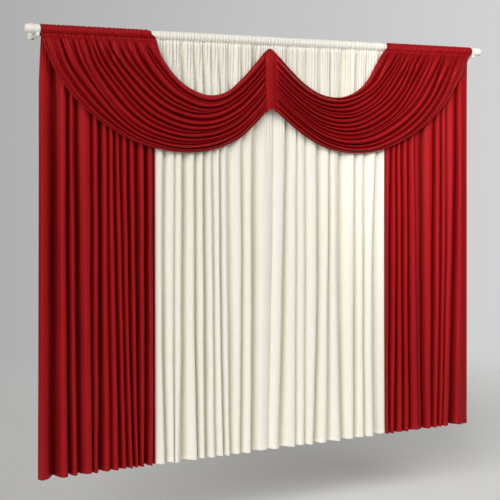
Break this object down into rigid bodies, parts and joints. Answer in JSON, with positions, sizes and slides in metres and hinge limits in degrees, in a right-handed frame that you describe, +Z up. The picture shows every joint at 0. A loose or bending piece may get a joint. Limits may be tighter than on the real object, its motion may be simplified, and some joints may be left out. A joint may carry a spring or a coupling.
{
  "type": "gathered window curtain with attached swags on its wall rod",
  "caption": "Rod-pocket window curtain with a pale middle panel, dark side panels and two draped swags on a wall rod.",
  "frame": {"origin": "on the wall, at the height of the rod's axis, midway between the outer edges of the two side panels", "axes": "+X along the rod to the right as seen from the room, +Y into the wall, +Z up; the front faces -Y"},
  "size_m": [2.1236, 0.1288, 1.719],
  "materials": {
    "red_cloth": "soft knitted cloth with a faint sheen",
    "cream_cloth": "soft knitted cloth with a faint sheen",
    "rod_paint": "satin",
    "fitting_plastic": "satin"
  },
  "bodies": {
    "root": {"rod": "rod_paint", "bracket_left": "fitting_plastic", "bracket_right": "fitting_plastic", "finial_left": "fitting_plastic", "finial_right": "fitting_plastic", "panel_left": "red_cloth", "panel_centre": "cream_cloth", "panel_right": "red_cloth", "swag_left": "red_cloth", "swag_right": "red_cloth", "swag_tab": "red_cloth"}
  },
  "joints": []
}
